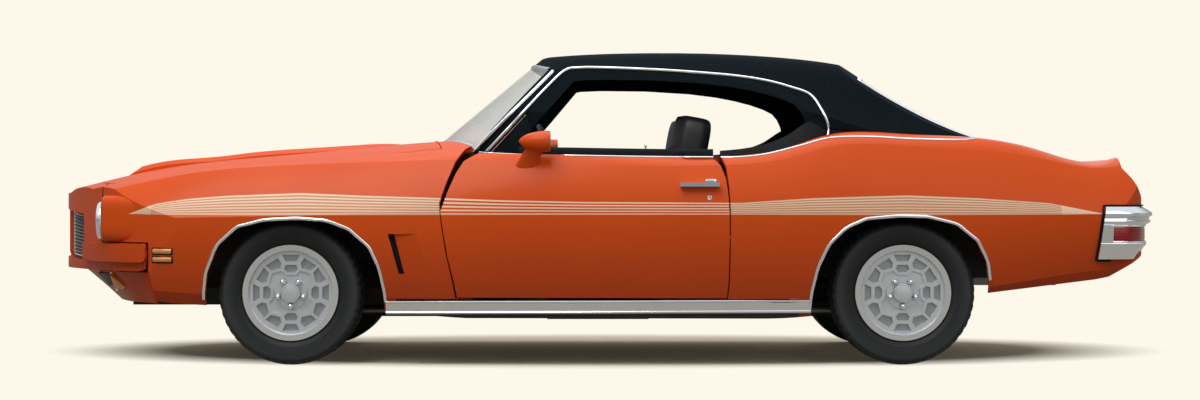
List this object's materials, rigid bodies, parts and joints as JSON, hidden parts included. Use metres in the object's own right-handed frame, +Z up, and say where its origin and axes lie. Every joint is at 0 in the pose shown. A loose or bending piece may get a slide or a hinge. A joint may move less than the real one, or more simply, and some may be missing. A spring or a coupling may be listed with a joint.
{
  "type": "muscle car",
  "caption": "Two-door muscle car with hinged doors, hood and trunk lid, steered front wheels on knuckles, and an open cabin with seats.",
  "frame": {"origin": "on the ground, midway between nose and rear bumper and between the sides", "axes": "+Z up, -X towards the nose, -Y towards the car's left side"},
  "size_m": [5.106, 2.02, 1.4449],
  "materials": {
    "body_paint": "gloss",
    "roof_vinyl": "grained",
    "chrome": "polished",
    "glass": "polished",
    "lamp_glass": "polished",
    "red_lens": "gloss",
    "black_paint": "satin",
    "black_plastic": "matte",
    "seat_vinyl": "satin",
    "wheel_silver": "satin",
    "tyre": "matte",
    "iron": "matte",
    "steel": "satin",
    "radiator_metal": "satin"
  },
  "bodies": {
    "body": {"front_bumper": "body_paint", "front_valance": "body_paint", "fender_left": "body_paint", "fender_right": "body_paint", "cowl": "body_paint", "quarter_left": "body_paint", "quarter_right": "body_paint", "rear_panel": "body_paint", "package_shelf": "black_plastic", "roof": "roof_vinyl", "windshield": "glass", "rear_window": "glass", "grilles": "black_plastic", "headlamps": "lamp_glass", "tail_lamps": "red_lens", "rear_bumper": "chrome", "rockers": "black_paint", "firewall": "black_paint", "front_seats": "seat_vinyl", "rear_seat": "seat_vinyl", "dashboard": "black_plastic", "steering_wheel": "black_plastic", "floor_pan": "black_paint", "frame": "black_paint", "engine": "iron", "radiator": "radiator_metal", "exhaust": "steel", "fuel_tank": "steel", "wheel_houses": "black_paint", "front_suspension": "black_paint", "rear_axle": "iron"},
    "door_left": {"door_left": "body_paint", "mirror_left": "body_paint", "door_handle_left": "chrome"},
    "door_right": {"door_right": "body_paint", "mirror_right": "body_paint", "door_handle_right": "chrome"},
    "hood": {"hood": "body_paint"},
    "trunk_lid": {"trunk_lid": "body_paint"},
    "knuckle_left": {"knuckle_left": "iron"},
    "knuckle_right": {"knuckle_right": "iron"},
    "wheel_front_left": {"rim_front_left": "wheel_silver", "tyre_front_left": "tyre"},
    "wheel_front_right": {"rim_front_right": "wheel_silver", "tyre_front_right": "tyre"},
    "wheel_rear_left": {"rim_rear_left": "wheel_silver", "tyre_rear_left": "tyre"},
    "wheel_rear_right": {"rim_rear_right": "wheel_silver", "tyre_rear_right": "tyre"}
  },
  "joints": [
    {"name": "door_left_hinge", "type": "hinge", "parent": "body", "child": "door_left", "pos_m": [-0.676, -0.962, 0.6], "axis": [0, 0, -1], "range_deg": [0, 65]},
    {"name": "door_right_hinge", "type": "hinge", "parent": "body", "child": "door_right", "pos_m": [-0.676, 0.962, 0.6], "axis": [0, 0, 1], "range_deg": [0, 65]},
    {"name": "hood_hinge", "type": "hinge", "parent": "body", "child": "hood", "pos_m": [-0.708, 0, 1.045], "axis": [0, 1, 0], "range_deg": [0, 50]},
    {"name": "trunk_hinge", "type": "hinge", "parent": "body", "child": "trunk_lid", "pos_m": [1.8, 0, 1.015], "axis": [0, -1, 0], "range_deg": [0, 70]},
    {"name": "steer_left", "type": "hinge", "parent": "body", "child": "knuckle_left", "pos_m": [-1.385, -0.736, 0.327], "axis": [0, 0, 1], "range_deg": [-30, 30]},
    {"name": "steer_right", "type": "hinge", "parent": "body", "child": "knuckle_right", "pos_m": [-1.385, 0.736, 0.327], "axis": [0, 0, 1], "range_deg": [-30, 30]},
    {"name": "wheel_front_left_spin", "type": "hinge", "parent": "knuckle_left", "child": "wheel_front_left", "pos_m": [-1.385, -0.76, 0.327], "axis": [0, 1, 0], "continuous": true},
    {"name": "wheel_front_right_spin", "type": "hinge", "parent": "knuckle_right", "child": "wheel_front_right", "pos_m": [-1.385, 0.76, 0.327], "axis": [0, 1, 0], "continuous": true},
    {"name": "wheel_rear_left_spin", "type": "hinge", "parent": "body", "child": "wheel_rear_left", "pos_m": [1.376, -0.76, 0.327], "axis": [0, 1, 0], "continuous": true},
    {"name": "wheel_rear_right_spin", "type": "hinge", "parent": "body", "child": "wheel_rear_right", "pos_m": [1.376, 0.76, 0.327], "axis": [0, 1, 0], "continuous": true}
  ],
  "couplings": [
    {"joint": "steer_right", "follows": "steer_left", "ratio": 1}
  ]
}
